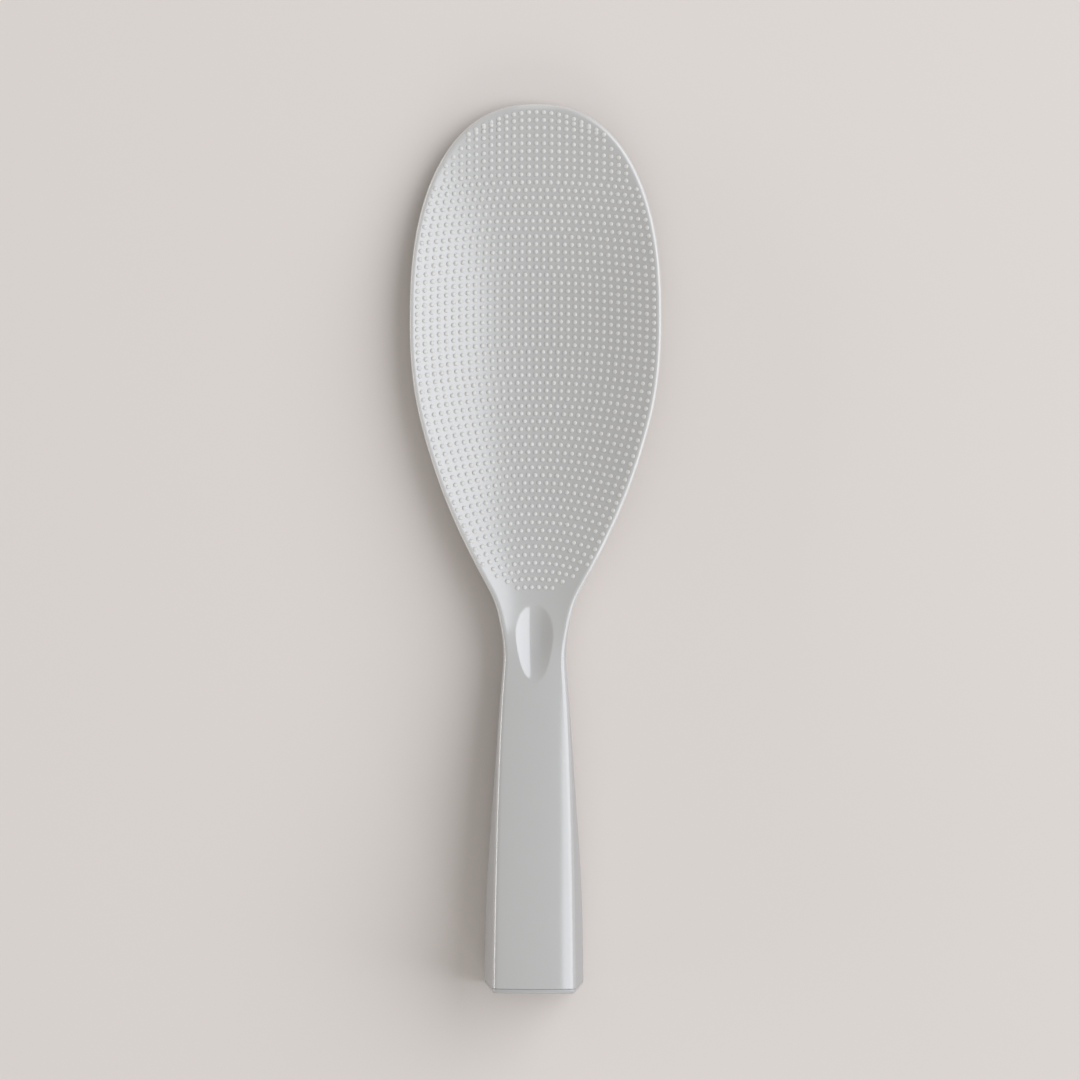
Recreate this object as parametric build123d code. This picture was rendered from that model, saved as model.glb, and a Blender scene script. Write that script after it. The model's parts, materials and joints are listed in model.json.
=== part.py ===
from build123d import *
from dataclasses import dataclass, replace
import math
import os

# A rice paddle that stands on its own foot: a dotted scoop blade on a deep hollow handle.
# It lies on its back here: +X to the right, +Y towards the blade's tip, +Z up out of the bowl.
# The origin is on the table, under the middle of the paddle.

# Overall sizes in millimetres
overall_length = 220.0
blade_width = 62.6
neck_width = 15.6
foot_front_width = 20.4
foot_back_width = 25.4
foot_depth = 27.0
neck_depth = 8.6
neck_lift = 4.0
tip_lift = 3.9

# Blade and handle surfaces
bowl_depth = 7.25
crown_height = 1.24
blade_thickness = 2.2
rim_thickness = 1.1
shoulder_round = 1.3
heel_round = 3.5

# Thumb recess on the neck's front
recess_width = 9.4
recess_length = 19.0
recess_depth = 1.55
recess_round = 0.3

# Hollow of the handle
handle_wall = 2.2
pocket_length = 72.0
pocket_corner = 0.6

# Base cap: a flange with a skirt that snaps into the hollow
cap_lip = 1.2
cap_edge_round = 0.7
joint_bevel = 0.2
cap_clearance = 0.15
skirt_length = 7.0
skirt_wall = 1.6
snap_bead = 0.45
snap_width = 1.2
snap_length = 11.0
snap_setback = 3.6

# Steel ballast slug in the cup of the base cap, as thick as the hollow takes
slug_length = 25.0
slug_chamfer = 0.8
slug_clearance = 0.05
cup_wall = 1.3
cup_height = 20.0
cup_gap = 1.0
cup_rib_thickness = 1.4

# Guide ribs in the hollow, which steady the cup
guide_rib_thickness = 1.4
guide_rib_length = 34.0
guide_rib_gap = 0.3

# Places along the paddle, as shares of its length from the foot
neck_share = 0.382
widest_share = 0.759
recess_share = 0.391

# The blade's end in plan is a superellipse of this power, drawn by angle
end_power_share = 2.35
end_angles = (0, 11, 22, 33, 44, 54, 63, 71, 78, 83.5)
nose_angle = 87.0
nose_inset_share = 0.6

# Half-width of the front edge: place, share of foot, share of blade, both counted from the neck
front_edge_shares = (
    (0.0, 1.0, 0.0),
    (0.055, 0.95, 0.0),
    (0.115, 0.87, 0.0),
    (0.18, 0.76, 0.0),
    (0.245, 0.6, 0.0),
    (0.314, 0.34, 0.0),
    (0.35, 0.12, 0.0),
    (neck_share, 0.0, 0.0),
    (0.41, 0.0, 0.034),
    (0.436, 0.0, 0.098),
    (0.459, 0.0, 0.205),
    (0.482, 0.0, 0.32),
    (0.527, 0.0, 0.525),
    (0.568, 0.0, 0.68),
    (0.614, 0.0, 0.82),
    (0.659, 0.0, 0.926),
    (0.709, 0.0, 0.987),
    (widest_share, 0.0, 1.0),
    (0.81, 0.0, 0.987),
)

# Half-width of the back edge beyond the front edge: place, share of the foot's flare
back_flare_shares = (
    (0.0, 1.0),
    (0.055, 0.98),
    (0.115, 0.9),
    (0.18, 0.6),
    (0.245, 0.3),
    (0.314, 0.08),
    (0.35, 0.02),
    (neck_share, 0.0),
    (0.42, 0.0),
    (0.5, 0.0),
    (0.7, 0.0),
    (1.0, 0.0),
)

# Height of the underside's middle: place, share of neck lift, share of tip lift
under_line_shares = (
    (0.0, 0.0, 0.0),
    (0.055, 0.04, 0.0),
    (0.115, 0.16, 0.0),
    (0.18, 0.35, 0.0),
    (0.245, 0.575, 0.0),
    (0.314, 0.81, 0.0),
    (neck_share, 1.01, 0.0),
    (0.436, 1.07, 0.0),
    (0.5, 0.9, 0.0),
    (0.568, 0.57, 0.0),
    (0.659, 0.18, 0.0),
    (0.709, 0.06, 0.0),
    (0.77, 0.0, 0.0),
    (0.818, 0.0, 0.02),
    (0.864, 0.0, 0.085),
    (0.932, 0.0, 0.37),
    (1.0, 0.0, 1.0),
)

# Thickness at the middle: place, shares of foot depth, neck depth and blade thickness, rest rim
thickness_shares = (
    (0.0, 1.0, 0.0, 0.0),
    (0.055, 0.91, 0.09, 0.0),
    (0.115, 0.764, 0.236, 0.0),
    (0.18, 0.59, 0.41, 0.0),
    (0.245, 0.402, 0.598, 0.0),
    (0.314, 0.196, 0.804, 0.0),
    (neck_share, 0.0, 1.0, 0.0),
    (0.409, 0.0, 0.82, 0.18),
    (0.436, 0.0, 0.65, 0.35),
    (0.5, 0.0, 0.33, 0.67),
    (0.568, 0.0, 0.11, 0.89),
    (0.659, 0.0, 0.015, 0.985),
    (0.77, 0.0, 0.0, 1.0),
    (0.864, 0.0, 0.0, 0.9),
    (0.932, 0.0, 0.0, 0.6),
    (1.0, 0.0, 0.0, 0.0),
)

# Curvature across the front: place, share of the bowl's, share of the handle crown's
curvature_shares = (
    (0.0, 0.0, 1.0),
    (0.1, 0.0, 1.0),
    (0.2, 0.0, 1.0),
    (0.3, 0.0, 1.0),
    (0.345, 0.0, 0.93),
    (0.382, 0.0, 0.2),
    (0.409, 0.75, 0.0),
    (0.436, 1.27, 0.0),
    (0.459, 1.42, 0.0),
    (0.5, 1.34, 0.0),
    (0.568, 1.17, 0.0),
    (0.659, 1.02, 0.0),
    (0.709, 1.0, 0.0),
    (0.77, 1.0, 0.0),
    (0.818, 0.92, 0.0),
    (0.864, 0.8, 0.0),
    (0.932, 0.62, 0.0),
    (1.0, 0.55, 0.0),
)

# How far the side's foot has risen from the underside's middle to the rim's thin edge
side_rise_shares = (
    (0.0, 0.0),
    (0.2, 0.0),
    (0.35, 0.0),
    (neck_share, 0.02),
    (0.409, 0.14),
    (0.436, 0.36),
    (0.459, 0.57),
    (0.5, 0.81),
    (0.568, 0.965),
    (0.64, 1.0),
    (0.8, 1.0),
    (1.0, 1.0),
)

# Front and heel rounding: place, share of the handle's rounding over the rim's
rounding_shares = (
    (0.0, 1.0, 1.0),
    (0.15, 1.0, 0.95),
    (0.3, 0.9, 0.75),
    (neck_share, 0.6, 0.52),
    (0.436, 0.3, 0.36),
    (0.5, 0.1, 0.14),
    (0.568, 0.02, 0.02),
    (0.64, 0.0, 0.0),
    (0.8, 0.0, 0.0),
    (1.0, 0.0, 0.0),
)

# Sections of the handle and the blade's lower part
body_places_shares = (
    0.055, 0.1, 0.15, 0.2, 0.25, 0.3, 0.335, 0.36, 0.385, 0.41, 0.435, 0.46, 0.485, 0.515, 0.55, 0.59, 0.635,
    0.68, 0.72,
)
pocket_places_shares = (0.0, 0.2, 0.4, 0.6, 0.8, 1.0)

# Shares used in drawing a section
rim_round_share = 0.436
quarter_round_share = 0.55
across_limit_share = 0.6
slope_step_share = 0.0005


def fair_line(points):
    """Smooth curve through (place, value) points: a natural cubic spline, as a function of place."""
    places = [point[0] for point in points]
    values = [point[1] for point in points]
    last = len(points) - 1
    gaps = [places[i + 1] - places[i] for i in range(last)]
    rises = [(values[i + 1] - values[i]) / gaps[i] for i in range(last)]
    bends = [0.0] * (last + 1)
    sweep = [0.0] * (last + 1)
    carry = [0.0] * (last + 1)
    for i in range(1, last):
        pivot = 2 * (gaps[i - 1] + gaps[i]) - gaps[i - 1] * sweep[i - 1]
        sweep[i] = gaps[i] / pivot
        carry[i] = (6 * (rises[i] - rises[i - 1]) - gaps[i - 1] * carry[i - 1]) / pivot
    for i in range(last - 1, 0, -1):
        bends[i] = carry[i] - sweep[i] * bends[i + 1]

    def value_at(place):
        i = 0
        while i < last - 1 and place > places[i + 1]:
            i += 1
        gap = gaps[i]
        after = (place - places[i]) / gap
        before = 1 - after
        bow = (before**3 - before) * bends[i] + (after**3 - after) * bends[i + 1]
        return before * values[i] + after * values[i + 1] + bow * gap * gap / 6

    return value_at


def blended_line(rows, sizes, rest=0.0):
    """Smooth curve whose points are rest plus shares of the sizes counted from rest."""
    points = [(row[0], rest + sum(share * (size - rest) for share, size in zip(row[1:], sizes))) for row in rows]
    return fair_line(points)


joint_y = cap_lip - overall_length / 2
rim_round = rim_round_share * rim_thickness
seat_align = (Align.CENTER, Align.CENTER, Align.MIN)

table_front_edge = blended_line(front_edge_shares, (foot_front_width / 2, blade_width / 2), neck_width / 2)
back_flare = blended_line(back_flare_shares, ((foot_back_width - foot_front_width) / 2,))
under_line = blended_line(under_line_shares, (neck_lift, tip_lift))
thickness_line = blended_line(thickness_shares, (foot_depth, neck_depth, blade_thickness), rim_thickness)
bowl_curvature = 2 * bowl_depth / (blade_width / 2) ** 2
crown_curvature = 2 * crown_height / (foot_front_width / 2) ** 2
curvature_line = blended_line(curvature_shares, (bowl_curvature, -crown_curvature))
side_rise = blended_line(side_rise_shares, (1,))
front_round_line = blended_line([row[:2] for row in rounding_shares], (shoulder_round,), rim_round)
heel_round_line = blended_line([(row[0], row[2]) for row in rounding_shares], (heel_round,), rim_round)


def y_at(place):
    """Distance along the paddle of a place given as a share of its length from the foot."""
    return (place - 0.5) * overall_length


def front_edge(place):
    """Half-width of the outline: a smooth line up to the widest place, then a superellipse."""
    if place <= widest_share:
        return table_front_edge(place)
    reach = min((place - widest_share) / (1 - widest_share), 1.0)
    return blade_width / 2 * (1 - reach**end_power_share) ** (1 / end_power_share)


def end_place(angle):
    """Place on the blade's end whose superellipse angle is given in degrees."""
    reach = math.sin(math.radians(angle)) ** (2 / end_power_share)
    return widest_share + (1 - widest_share) * reach


@dataclass
class Section:
    """One cross-section: half-widths, heights and roundings at a distance along the paddle."""

    y: float
    front_half: float
    back_half: float
    front_middle: float
    front_corner: float
    under_middle: float
    under_corner: float
    front_round: float
    heel_round: float
    across: float

    def inside(self, wall, corner):
        """The same section moved in by a wall, with its corners no sharper than given."""
        return replace(
            self,
            front_half=self.front_half - wall,
            back_half=self.back_half - wall,
            front_middle=self.front_middle - wall,
            front_corner=self.front_corner - wall,
            under_middle=self.under_middle + wall,
            under_corner=self.under_corner + wall,
            front_round=max(self.front_round - wall, corner),
            heel_round=max(self.heel_round - wall, corner),
        )

    def front_at(self, x):
        """Height of the front surface."""
        return self.front_middle + (self.front_corner - self.front_middle) * (x / self.front_half) ** 2

    def under_at(self, x):
        """Height of the underside."""
        return self.under_middle + (self.under_corner - self.under_middle) * (x / self.back_half) ** 2

    def half_points(self):
        """Control points of the right half: front end, shoulder, side, heel and under end."""
        front_reach = min(self.front_round * self.across, across_limit_share * self.front_half)
        heel_reach = min(self.heel_round * self.across, across_limit_share * self.back_half)
        front_x = self.front_half - front_reach
        under_x = self.back_half - heel_reach
        front_slope = 2 * (self.front_corner - self.front_middle) * front_x / self.front_half**2
        under_slope = 2 * (self.under_corner - self.under_middle) * under_x / self.back_half**2
        run = self.back_half - self.front_half
        drop = self.front_corner - self.under_corner
        length = math.hypot(run, drop)
        side = (run / length, -drop / length)
        top = (
            self.front_half + side[0] * self.front_round,
            self.front_corner + side[1] * self.front_round,
        )
        foot = (
            self.back_half - side[0] * self.heel_round,
            self.under_corner - side[1] * self.heel_round,
        )
        front_end = (front_x, self.front_at(front_x))
        under_end = (under_x, self.under_at(under_x))
        front_pull = quarter_round_share * front_reach
        heel_pull = quarter_round_share * heel_reach
        top_pull = quarter_round_share * self.front_round
        foot_pull = quarter_round_share * self.heel_round
        shoulder = (
            front_end,
            (front_end[0] + front_pull, front_end[1] + front_pull * front_slope),
            (top[0] - side[0] * top_pull, top[1] - side[1] * top_pull),
            top,
        )
        heel = (
            foot,
            (foot[0] + side[0] * foot_pull, foot[1] + side[1] * foot_pull),
            (under_end[0] + heel_pull, under_end[1] + heel_pull * under_slope),
            under_end,
        )
        return shoulder, heel

    def wire(self):
        """Closed wire of eight edges: front, shoulders, sides, heels and underside."""
        shoulder, heel = self.half_points()

        def at(point, sign=1):
            return (sign * point[0], self.y, point[1])

        front_end = shoulder[0]
        under_end = heel[-1]
        front_peak = 2 * self.front_middle - front_end[1]
        under_peak = 2 * self.under_middle - under_end[1]
        edges = [
            Bezier(at(front_end, -1), (0, self.y, front_peak), at(front_end)),
            Bezier(*[at(point) for point in shoulder]),
            Line(at(shoulder[-1]), at(heel[0])),
            Bezier(*[at(point) for point in heel]),
            Bezier(at(under_end), (0, self.y, under_peak), at(under_end, -1)),
            Bezier(*[at(point, -1) for point in reversed(heel)]),
            Line(at(heel[0], -1), at(shoulder[-1], -1)),
            Bezier(*[at(point, -1) for point in reversed(shoulder)]),
        ]
        return Wire(edges)


def section_at(place):
    """Section of the solid paddle at a place."""
    half = front_edge(place)
    step = slope_step_share
    slope = (front_edge(place) - front_edge(place - step)) / (step * overall_length)
    under = under_line(place)
    thickness = thickness_line(place)
    front = under + thickness
    rise = curvature_line(place) * half**2 / 2
    return Section(
        y=y_at(place),
        front_half=half,
        back_half=half + back_flare(place),
        front_middle=front,
        front_corner=front + rise,
        under_middle=under,
        under_corner=under + side_rise(place) * (rise + thickness - rim_thickness),
        front_round=front_round_line(place),
        heel_round=heel_round_line(place),
        across=math.hypot(1, slope),
    )


cup_end = section_at((cap_lip + cup_height) / overall_length).inside(handle_wall, pocket_corner)
cup_lift = (cup_end.front_middle + cup_end.under_middle) / 2
cup_room = min((cup_end.front_half + cup_end.back_half) / 2, cup_lift - cup_end.under_middle)
cup_outer = cup_room - cup_gap
cup_inner = cup_outer - cup_wall
slug_radius = cup_inner - slug_clearance


def loft_through(sections):
    """Smooth solid through sections in order."""
    return Solid.make_loft([section.wire() for section in sections])


def bevelled_band(section):
    """Thin band from a section to the joint plane, where it is a bevel smaller all round."""
    joint = replace(section.inside(joint_bevel, joint_bevel), y=joint_y)
    return Solid.make_loft([section.wire(), joint.wire()], ruled=True)


def body_blank():
    """Blade, neck and handle in one smooth form, from the base cap's joint to the blade's tip."""
    first = replace(section_at(0), y=joint_y + joint_bevel)
    middle = [section_at(place) for place in body_places_shares]
    end = [section_at(end_place(angle)) for angle in end_angles]
    nose_inset = nose_inset_share * rim_round
    nose = section_at(end_place(nose_angle)).inside(nose_inset, nose_inset / 2)
    form = loft_through([first] + middle + end + [replace(nose, y=y_at(1))])
    return form + bevelled_band(first)


def pocket_sections(wall, length):
    """Sections of the hollow, or of what fills it, from the foot to a depth behind the joint."""
    reach = (cap_lip + length) / overall_length
    return [section_at(share * reach).inside(wall, pocket_corner) for share in pocket_places_shares]


def slab(wall, start, thickness):
    """Flat slice of the hollow's form, set in from the outside by a wall."""
    section = section_at((cap_lip + start) / overall_length).inside(wall, pocket_corner)
    face = Face(replace(section, y=joint_y + start).wire())
    return extrude(face, thickness, (0, 1, 0))


def edges_at(shape, y):
    """Edges that lie in the flat face across the paddle at a distance along it."""
    return shape.edges().filter_by_position(Axis.Y, y, y)


def snap_zone(width):
    """Blocks beside the hollow that keep a bead or its groove to the middle of the two side walls."""
    return Pos(0, 0, cup_lift) * Box(foot_back_width, overall_length, width)


def guide_ribs():
    """Ribs along the two side walls of the hollow, which stop just short of the cup."""
    start = joint_y + skirt_length + cap_lip
    reach = foot_back_width / 2 - cup_outer
    centre_x = cup_outer + guide_rib_gap + reach / 2
    rib = Box(reach, guide_rib_length, guide_rib_thickness)
    spot = (start + guide_rib_length / 2, cup_lift)
    return [Pos(side * centre_x, *spot) * rib for side in (-1, 1)]


def thumb_wheel():
    """Wheel whose rounded edge presses the oval recess into the neck."""
    half = recess_width / 2
    across = (half**2 + recess_depth**2) / (2 * recess_depth)
    along = ((recess_length / 2) ** 2 + recess_depth**2) / (2 * recess_depth)
    edge = along - across + math.sqrt(across**2 - recess_width**2 / 2)
    side = recess_width / math.sqrt(2)
    rim = ThreePointArc((side, edge), (0, along), (-side, edge))
    outline = Polyline((-side, edge), (-side, 0), (side, 0), (side, edge))
    wheel = revolve(Face(Wire([rim] + outline.edges())), Axis.X)
    place = recess_share
    spot = section_at(place)
    ahead = section_at(place + slope_step_share)
    fall = (ahead.front_middle - spot.front_middle) / (ahead.y - spot.y)
    lift = (along - recess_depth) / math.hypot(1, fall)
    return Pos(0, spot.y - fall * lift, spot.front_middle + lift) * wheel


def paddle_body():
    """Moulded body: the form, less its thumb recess, its hollow and the grooves for the snap beads."""
    pocket = loft_through(pocket_sections(handle_wall, pocket_length))
    for rib in guide_ribs():
        pocket = pocket - rib
    groove_start = snap_setback - cap_clearance
    groove = slab(handle_wall - snap_bead, groove_start, snap_width + 2 * cap_clearance)
    groove = groove & snap_zone(snap_length + 2 * cap_clearance)
    blank = body_blank()
    wheel = thumb_wheel()
    body = blank - wheel
    body = fillet(new_edges(blank, wheel, combined=body), recess_round)
    return body - pocket - groove


def cup_cylinder(radius, height):
    """Cylinder on the cup's axis, standing on the joint plane and reaching into the hollow."""
    return Pos(0, joint_y, cup_lift) * Rot(-90, 0, 0) * Cylinder(radius, height, align=seat_align)


def base_cap():
    """Flange over the hollow's mouth, with a snap-in skirt and the cup that holds the ballast."""
    foot = section_at(0)
    plate = extrude(Face(foot.wire()), cap_lip - joint_bevel, (0, 1, 0))
    plate = fillet(edges_at(plate, foot.y), cap_edge_round)
    flange = plate + bevelled_band(replace(foot, y=joint_y - joint_bevel))
    inset = handle_wall + cap_clearance
    plug = loft_through(pocket_sections(inset, skirt_length))
    skirt = plug - loft_through(pocket_sections(inset + skirt_wall, skirt_length + cap_lip))
    bead = slab(inset - snap_bead, snap_setback, snap_width) & snap_zone(snap_length)
    bead = bead - slab(inset + skirt_wall, snap_setback, snap_width)
    stiffener = plug & Box(cup_rib_thickness, overall_length, 2 * foot_depth)
    cup = cup_cylinder(cup_outer, cup_height)
    bore = cup_cylinder(cup_inner, cup_height)
    return flange + (skirt + bead + stiffener + cup - bore)


def ballast_slug():
    """Steel bar with chamfered ends, seated on the floor of the cup."""
    slug = cup_cylinder(slug_radius, slug_length)
    ends = slug.edges().filter_by(GeomType.CIRCLE)
    return chamfer(ends, slug_chamfer)


pieces = {
    "paddle_body": paddle_body,
    "base_cap": base_cap,
    "ballast_slug": ballast_slug,
}

os.makedirs("parts", exist_ok=True)
for name, build in pieces.items():
    piece = build()
    piece.label = name
    export_step(piece, f"parts/{name}.step")
    print(name, round(piece.volume), piece.is_valid)
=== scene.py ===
"""Looks of a rice paddle that stands on its own foot: moulded body, embossed dots, base cap and studio."""

import json
import logging
import math
from collections.abc import Callable, Iterable, Sequence
from dataclasses import dataclass, field, replace
from enum import Enum

import bmesh
import bpy
from mathutils import Matrix, Vector

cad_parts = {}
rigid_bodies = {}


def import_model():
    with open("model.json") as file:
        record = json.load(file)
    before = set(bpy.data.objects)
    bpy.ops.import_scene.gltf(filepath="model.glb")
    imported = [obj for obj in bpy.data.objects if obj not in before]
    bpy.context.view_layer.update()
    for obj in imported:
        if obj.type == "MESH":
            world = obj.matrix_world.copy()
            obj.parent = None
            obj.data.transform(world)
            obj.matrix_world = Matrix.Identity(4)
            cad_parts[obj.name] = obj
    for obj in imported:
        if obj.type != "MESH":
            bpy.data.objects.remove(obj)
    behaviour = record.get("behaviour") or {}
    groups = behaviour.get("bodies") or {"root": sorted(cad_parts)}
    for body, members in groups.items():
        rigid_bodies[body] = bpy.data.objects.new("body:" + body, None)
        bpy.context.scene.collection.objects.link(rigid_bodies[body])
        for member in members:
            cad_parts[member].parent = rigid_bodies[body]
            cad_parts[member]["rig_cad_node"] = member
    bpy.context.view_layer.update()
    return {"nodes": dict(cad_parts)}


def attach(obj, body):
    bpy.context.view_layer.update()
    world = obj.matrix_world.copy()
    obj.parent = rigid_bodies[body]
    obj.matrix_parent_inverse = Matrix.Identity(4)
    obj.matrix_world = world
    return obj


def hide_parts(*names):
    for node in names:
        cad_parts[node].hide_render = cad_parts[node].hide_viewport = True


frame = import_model()

log = logging.getLogger("rice_paddle")

MM = 0.001

# Pull of a curve's handles on a quarter round, and the most of a half-width that a rounding takes up
QUARTER_ROUND = 0.55
ACROSS_LIMIT = 0.6

# Share of the length over which a slope is taken, and the distance within which two points are one
SLOPE_STEP = 0.0005
WELD = 0.0001 * MM

# The sRGB curve: where its straight start ends, how steep that is, and the offset and power beyond it
SRGB_START = 0.04045
SRGB_SLOPE = 12.92
SRGB_OFFSET = 0.055
SRGB_POWER = 2.4

# Radians by which Blender's wave texture turns over one unit of length at a scale of 1
WAVE_TURN = 20

# Attributes of the body: 1 on the blade's thin edge, where a highlight is painted, in the thumb recess, and
# on the handle's side walls, which are satin and take painted shade
PAINTED_EDGE_HIGHLIGHT = "painted_edge_highlight"
IN_RECESS = "in_recess"
WALL_SATIN_AND_PAINTED_SHADE = "wall_satin_and_painted_shade"

# How a measure runs from foot to tip, and how the front's height at x and y changes where it is pressed
Line = Callable[[float], float]
Press = Callable[[float, float, float], float]


class Slot(Enum):
    """Material slots of the record."""

    BODY = "body_plastic"
    CAP = "cap_plastic"
    BALLAST = "ballast_steel"


class RowFit(Enum):
    """How a row of dots is fitted between the two edges."""

    COLUMNS = "in columns that run on from row to row"
    SPREAD = "spread evenly from edge to edge"


def fair_line(points: Sequence[tuple[float, float]]) -> Line:
    """Draws a smooth curve through points, as a natural cubic spline.

    Args:
        points: (place, value) pairs, in rising order of place.

    Returns:
        A function that gives the value at a place.
    """
    places = [point[0] for point in points]
    values = [point[1] for point in points]
    last = len(points) - 1
    gaps = [places[i + 1] - places[i] for i in range(last)]
    rises = [(values[i + 1] - values[i]) / gaps[i] for i in range(last)]
    bends = [0.0] * (last + 1)
    sweep = [0.0] * (last + 1)
    carry = [0.0] * (last + 1)
    for i in range(1, last):
        pivot = 2 * (gaps[i - 1] + gaps[i]) - gaps[i - 1] * sweep[i - 1]
        sweep[i] = gaps[i] / pivot
        carry[i] = (6 * (rises[i] - rises[i - 1]) - gaps[i - 1] * carry[i - 1]) / pivot
    for i in range(last - 1, 0, -1):
        bends[i] = carry[i] - sweep[i] * bends[i + 1]

    def value_at(place: float) -> float:
        """Finds the curve's value at a place.

        Args:
            place: The place, which may lie a little past either end.

        Returns:
            The value.
        """
        i = 0
        while i < last - 1 and place > places[i + 1]:
            i += 1
        gap = gaps[i]
        after = (place - places[i]) / gap
        before = 1 - after
        bow = (before**3 - before) * bends[i] + (after**3 - after) * bends[i + 1]
        return before * values[i] + after * values[i + 1] + bow * gap * gap / 6

    return value_at


def blended_line(rows: Iterable[Sequence[float]], sizes: Sequence[float], rest: float = 0.0) -> Line:
    """Draws a smooth curve whose points are a rest value plus shares of sizes counted from it.

    Args:
        rows: (place, share, ...) rows, with one share for each size.
        sizes: The sizes that the shares refer to.
        rest: The value where every share is nought.

    Returns:
        A function that gives the value at a place.
    """
    return fair_line([(row[0], rest + sum(s * (z - rest) for s, z in zip(row[1:], sizes))) for row in rows])


def bezier(points: Sequence[tuple[float, float]], t: float) -> tuple[float, float]:
    """Finds a point on a cubic curve.

    Args:
        points: The curve's four control points.
        t: How far along, from 0 to 1.

    Returns:
        The point.
    """
    weights = ((1 - t) ** 3, 3 * t * (1 - t) ** 2, 3 * t**2 * (1 - t), t**3)
    return sum(w * p[0] for w, p in zip(weights, points)), sum(w * p[1] for w, p in zip(weights, points))


@dataclass(frozen=True)
class RingColumns:
    """Number of faces on each stretch of a ring round the paddle."""

    front: int = 88
    shoulder: int = 8
    side: int = 6
    heel: int = 5
    under: int = 24

    def total(self) -> int:
        """Returns the number of faces round the whole ring."""
        return self.front + self.under + 2 * (self.shoulder + self.side + self.heel)

    def outward(self) -> list[float]:
        """Finds how far outward each point of the ring lies.

        Returns:
            A number for each point: 0 on front and underside, 1 on a side, and between on a rounding.
        """
        right = [(i + 1) / self.shoulder for i in range(self.shoulder)]
        right += [1.0] * self.side
        right += [1 - (i + 1) / self.heel for i in range(self.heel)]
        return [0.0] * (self.front + 1) + right + [0.0] * (self.under - 1) + right[::-1] + [0.0]


@dataclass(frozen=True)
class Section:
    """One cross-section of the paddle: half-widths, heights and roundings at a distance along it."""

    y: float
    front_half: float
    back_half: float
    front_middle: float
    front_corner: float
    under_middle: float
    under_corner: float
    front_round: float
    front_reach: float
    heel_round: float
    across: float

    def inside(self, wall: float, corner: float) -> "Section":
        """Moves the section in by a wall.

        Args:
            wall: Thickness of the wall.
            corner: The smallest rounding left.

        Returns:
            The smaller section.
        """
        return replace(
            self,
            front_half=self.front_half - wall,
            back_half=self.back_half - wall,
            front_middle=self.front_middle - wall,
            front_corner=self.front_corner - wall,
            under_middle=self.under_middle + wall,
            under_corner=self.under_corner + wall,
            front_round=max(self.front_round - wall, corner),
            front_reach=max(self.front_reach - wall, corner),
            heel_round=max(self.heel_round - wall, corner),
        )

    def thinned(self, share: float) -> "Section":
        """Draws the front and underside together.

        Args:
            share: The share of the thickness that is left.

        Returns:
            The thinner section.
        """
        inset = (1 - share) / 2 * (self.front_corner - self.under_corner)
        return replace(
            self,
            front_middle=self.front_middle - inset,
            front_corner=self.front_corner - inset,
            under_middle=self.under_middle + inset,
            under_corner=self.under_corner + inset,
            front_round=self.front_round * share,
            heel_round=self.heel_round * share,
        )

    def front_at(self, x: float) -> float:
        """Returns the height of the front surface."""
        return self.front_middle + (self.front_corner - self.front_middle) * (x / self.front_half) ** 2

    def under_at(self, x: float) -> float:
        """Returns the height of the underside."""
        return self.under_middle + (self.under_corner - self.under_middle) * (x / self.back_half) ** 2

    def half_curves(self) -> tuple[tuple, tuple]:
        """Finds the control points of the right shoulder and of the right heel.

        Returns:
            Two sets of four points: from front to side, and from side to underside.
        """
        front_reach = min(self.front_reach * self.across, ACROSS_LIMIT * self.front_half)
        heel_reach = min(self.heel_round * self.across, ACROSS_LIMIT * self.back_half)
        front_x = self.front_half - front_reach
        under_x = self.back_half - heel_reach
        front_slope = 2 * (self.front_corner - self.front_middle) * front_x / self.front_half**2
        under_slope = 2 * (self.under_corner - self.under_middle) * under_x / self.back_half**2
        run = self.back_half - self.front_half
        drop = self.front_corner - self.under_corner
        length = math.hypot(run, drop)
        side = (run / length, -drop / length)
        top = (self.front_half + side[0] * self.front_round, self.front_corner + side[1] * self.front_round)
        foot = (self.back_half - side[0] * self.heel_round, self.under_corner - side[1] * self.heel_round)
        front_end = (front_x, self.front_at(front_x))
        under_end = (under_x, self.under_at(under_x))
        front_pull = QUARTER_ROUND * front_reach
        heel_pull = QUARTER_ROUND * heel_reach
        top_pull = QUARTER_ROUND * self.front_round
        foot_pull = QUARTER_ROUND * self.heel_round
        shoulder = (
            front_end,
            (front_end[0] + front_pull, front_end[1] + front_pull * front_slope),
            (top[0] - side[0] * top_pull, top[1] - side[1] * top_pull),
            top,
        )
        heel = (
            foot,
            (foot[0] + side[0] * foot_pull, foot[1] + side[1] * foot_pull),
            (under_end[0] + heel_pull, under_end[1] + heel_pull * under_slope),
            under_end,
        )
        return shoulder, heel

    def ring(self, columns: RingColumns, pressed: Press) -> list[Vector]:
        """Lays points round the section, from the left end of its front and back to there.

        A side's points stand closer together near its two ends, so that the wall runs smoothly into
        both roundings.

        Args:
            columns: Number of faces on each stretch.
            pressed: Gives the front's height at x and y, from the height before pressing.

        Returns:
            The points, of which the last lies on the first.
        """
        shoulder, heel = self.half_curves()
        right = [bezier(shoulder, (i + 1) / columns.shoulder) for i in range(columns.shoulder)]
        for i in range(columns.side):
            share = (1 - math.cos(math.pi * (i + 1) / columns.side)) / 2
            right.append(tuple(a + (b - a) * share for a, b in zip(shoulder[-1], heel[0])))
        right += [bezier(heel, (i + 1) / columns.heel) for i in range(columns.heel)]
        front_x = shoulder[0][0]
        under_x = heel[-1][0]
        front = [front_x * (2 * i / columns.front - 1) for i in range(columns.front + 1)]
        under = [under_x * (1 - 2 * i / columns.under) for i in range(1, columns.under)]
        left = [(-x, z) for x, z in reversed(right)] + [(-front_x, self.front_at(front_x))]
        flat = [(x, pressed(x, self.y, self.front_at(x))) for x in front]
        flat += right + [(x, self.under_at(x)) for x in under] + left
        return [Vector((x, self.y, z)) for x, z in flat]


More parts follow.
